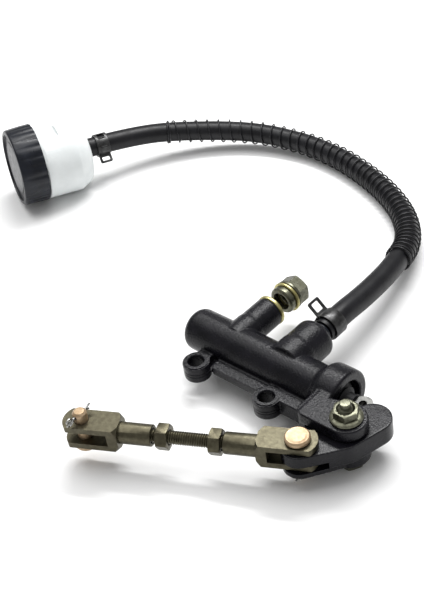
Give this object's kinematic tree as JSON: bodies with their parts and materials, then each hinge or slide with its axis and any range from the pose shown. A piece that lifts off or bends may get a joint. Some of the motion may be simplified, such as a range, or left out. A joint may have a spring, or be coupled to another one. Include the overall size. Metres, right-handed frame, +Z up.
{
  "type": "motorcycle brake master cylinder",
  "caption": "Rear brake master cylinder with bell crank, adjustable pedal linkage, banjo outlet and a remote fluid reservoir on a guarded hose.",
  "frame": {"origin": "on the lowest level, under the middle of the footprint of everything but the hose and the pieces on it", "axes": "+X along the cylinder bore towards the pushrod, +Y towards the two fluid ports, +Z up along the mounting holes and the crank pivot"},
  "size_m": [0.2948, 0.2411, 0.0442],
  "materials": {
    "cylinder_paint": "satin black paint on a sand casting",
    "crank_paint": "satin black paint",
    "green_zinc": "olive passivated zinc",
    "pale_zinc": "pale yellow passivated zinc",
    "gold_washer": "bare washer metal and bush bronze",
    "bright_steel": "bright steel",
    "black_steel": "black coated steel",
    "black_rubber": "matt black rubber",
    "bright_aluminium": "machined",
    "black_plastic": "moulded black plastic",
    "white_plastic": "translucent white plastic"
  },
  "bodies": {
    "cylinder": {"cylinder_body": "cylinder_paint", "return_spring": "bright_steel", "stop_washer": "bright_steel", "circlip": "bright_steel", "dust_boot": "black_rubber", "pivot_bolt": "black_steel", "pivot_nut": "green_zinc", "banjo_bolt": "green_zinc", "crush_washer_inner": "gold_washer", "crush_washer_outer": "gold_washer", "banjo_collar": "green_zinc", "inlet_nipple": "black_plastic", "nipple_seal": "black_rubber", "hose": "black_rubber", "spring_guard": "black_steel", "hose_clamp_cylinder": "black_steel", "hose_clamp_reservoir": "black_steel", "reservoir_bottle": "white_plastic"},
    "piston": {"piston": "bright_aluminium", "primary_cup": "black_rubber", "secondary_cup": "black_rubber", "pushrod": "bright_steel"},
    "crank": {"bell_crank": "crank_paint", "pivot_bush": "gold_washer", "clevis_pin_crank_end": "pale_zinc", "pin_washer": "green_zinc", "cotter_pin_crank_end": "bright_steel"},
    "linkage": {"clevis_crank_end": "green_zinc", "clevis_pedal_end": "green_zinc", "linkage_rod": "green_zinc", "lock_nut_crank_end": "green_zinc", "lock_nut_pedal_end": "green_zinc"},
    "pedal_pin": {"clevis_pin_pedal_end": "pale_zinc", "cotter_pin_pedal_end": "bright_steel"},
    "lid": {"reservoir_cap": "black_plastic", "diaphragm": "black_rubber", "diaphragm_plate": "white_plastic"}
  },
  "joints": [
    {"name": "crank_turn", "type": "hinge", "parent": "cylinder", "child": "crank", "pos_m": [0.13473, -0.01798, 0.0147], "axis": [0, 0, 1], "range_deg": [0, 25], "stiffness_Nm_per_rad": 0.2, "springref_deg": -28.65},
    {"name": "piston_slide", "type": "slide", "parent": "cylinder", "child": "piston", "axis": [-1, 0, 0], "range_m": [0, 0.0056], "deforming": ["return_spring", "dust_boot"]},
    {"name": "linkage_swing", "type": "hinge", "parent": "crank", "child": "linkage", "pos_m": [0.12458, -0.03628, 0.01635], "axis": [0, 0, 1], "range_deg": [-24, 40]},
    {"name": "pedal_pin_turn", "type": "hinge", "parent": "linkage", "child": "pedal_pin", "pos_m": [0.04326, -0.07736, 0.01635], "axis": [0, 0, 1], "continuous": true},
    {"name": "lid_lift", "type": "slide", "parent": "cylinder", "child": "lid", "axis": [-0.4181, -0.9052, 0.076], "range_m": [0, 0.022]}
  ],
  "couplings": [
    {"joint": "piston_slide", "follows": "crank_turn", "m_per_rad": 0.0128}
  ]
}
